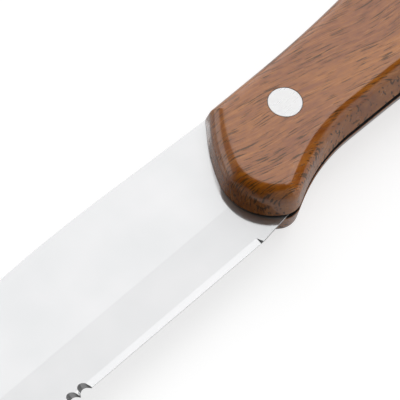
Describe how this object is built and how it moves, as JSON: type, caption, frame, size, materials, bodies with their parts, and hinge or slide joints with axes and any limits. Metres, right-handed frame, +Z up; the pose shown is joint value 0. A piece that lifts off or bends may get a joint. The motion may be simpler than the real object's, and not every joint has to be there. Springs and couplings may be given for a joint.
{
  "type": "steak knife",
  "caption": "Serrated steak knife with a pointed full-tang steel blade riveted between two contoured wooden handle scales with a hooked butt.",
  "frame": {"origin": "on the lower scale's flat outer face, on the rivet line, midway between the front and the middle rivet", "axes": "+X along the knife towards the butt, +Y towards the spine, +Z up from the face that the knife lies on"},
  "size_m": [0.2493, 0.0271, 0.0127],
  "materials": {
    "blade_steel": "fine satin, almost mirror bright",
    "varnished_wood": "orange-brown pored hardwood under a clear satin varnish",
    "rivet_metal": "ground flush with the wood, fine satin"
  },
  "bodies": {
    "root": {"blade": "blade_steel", "upper_scale": "varnished_wood", "lower_scale": "varnished_wood", "front_rivet_post": "rivet_metal", "front_rivet_barrel": "rivet_metal", "middle_rivet_post": "rivet_metal", "middle_rivet_barrel": "rivet_metal", "rear_rivet_post": "rivet_metal", "rear_rivet_barrel": "rivet_metal"}
  },
  "joints": []
}
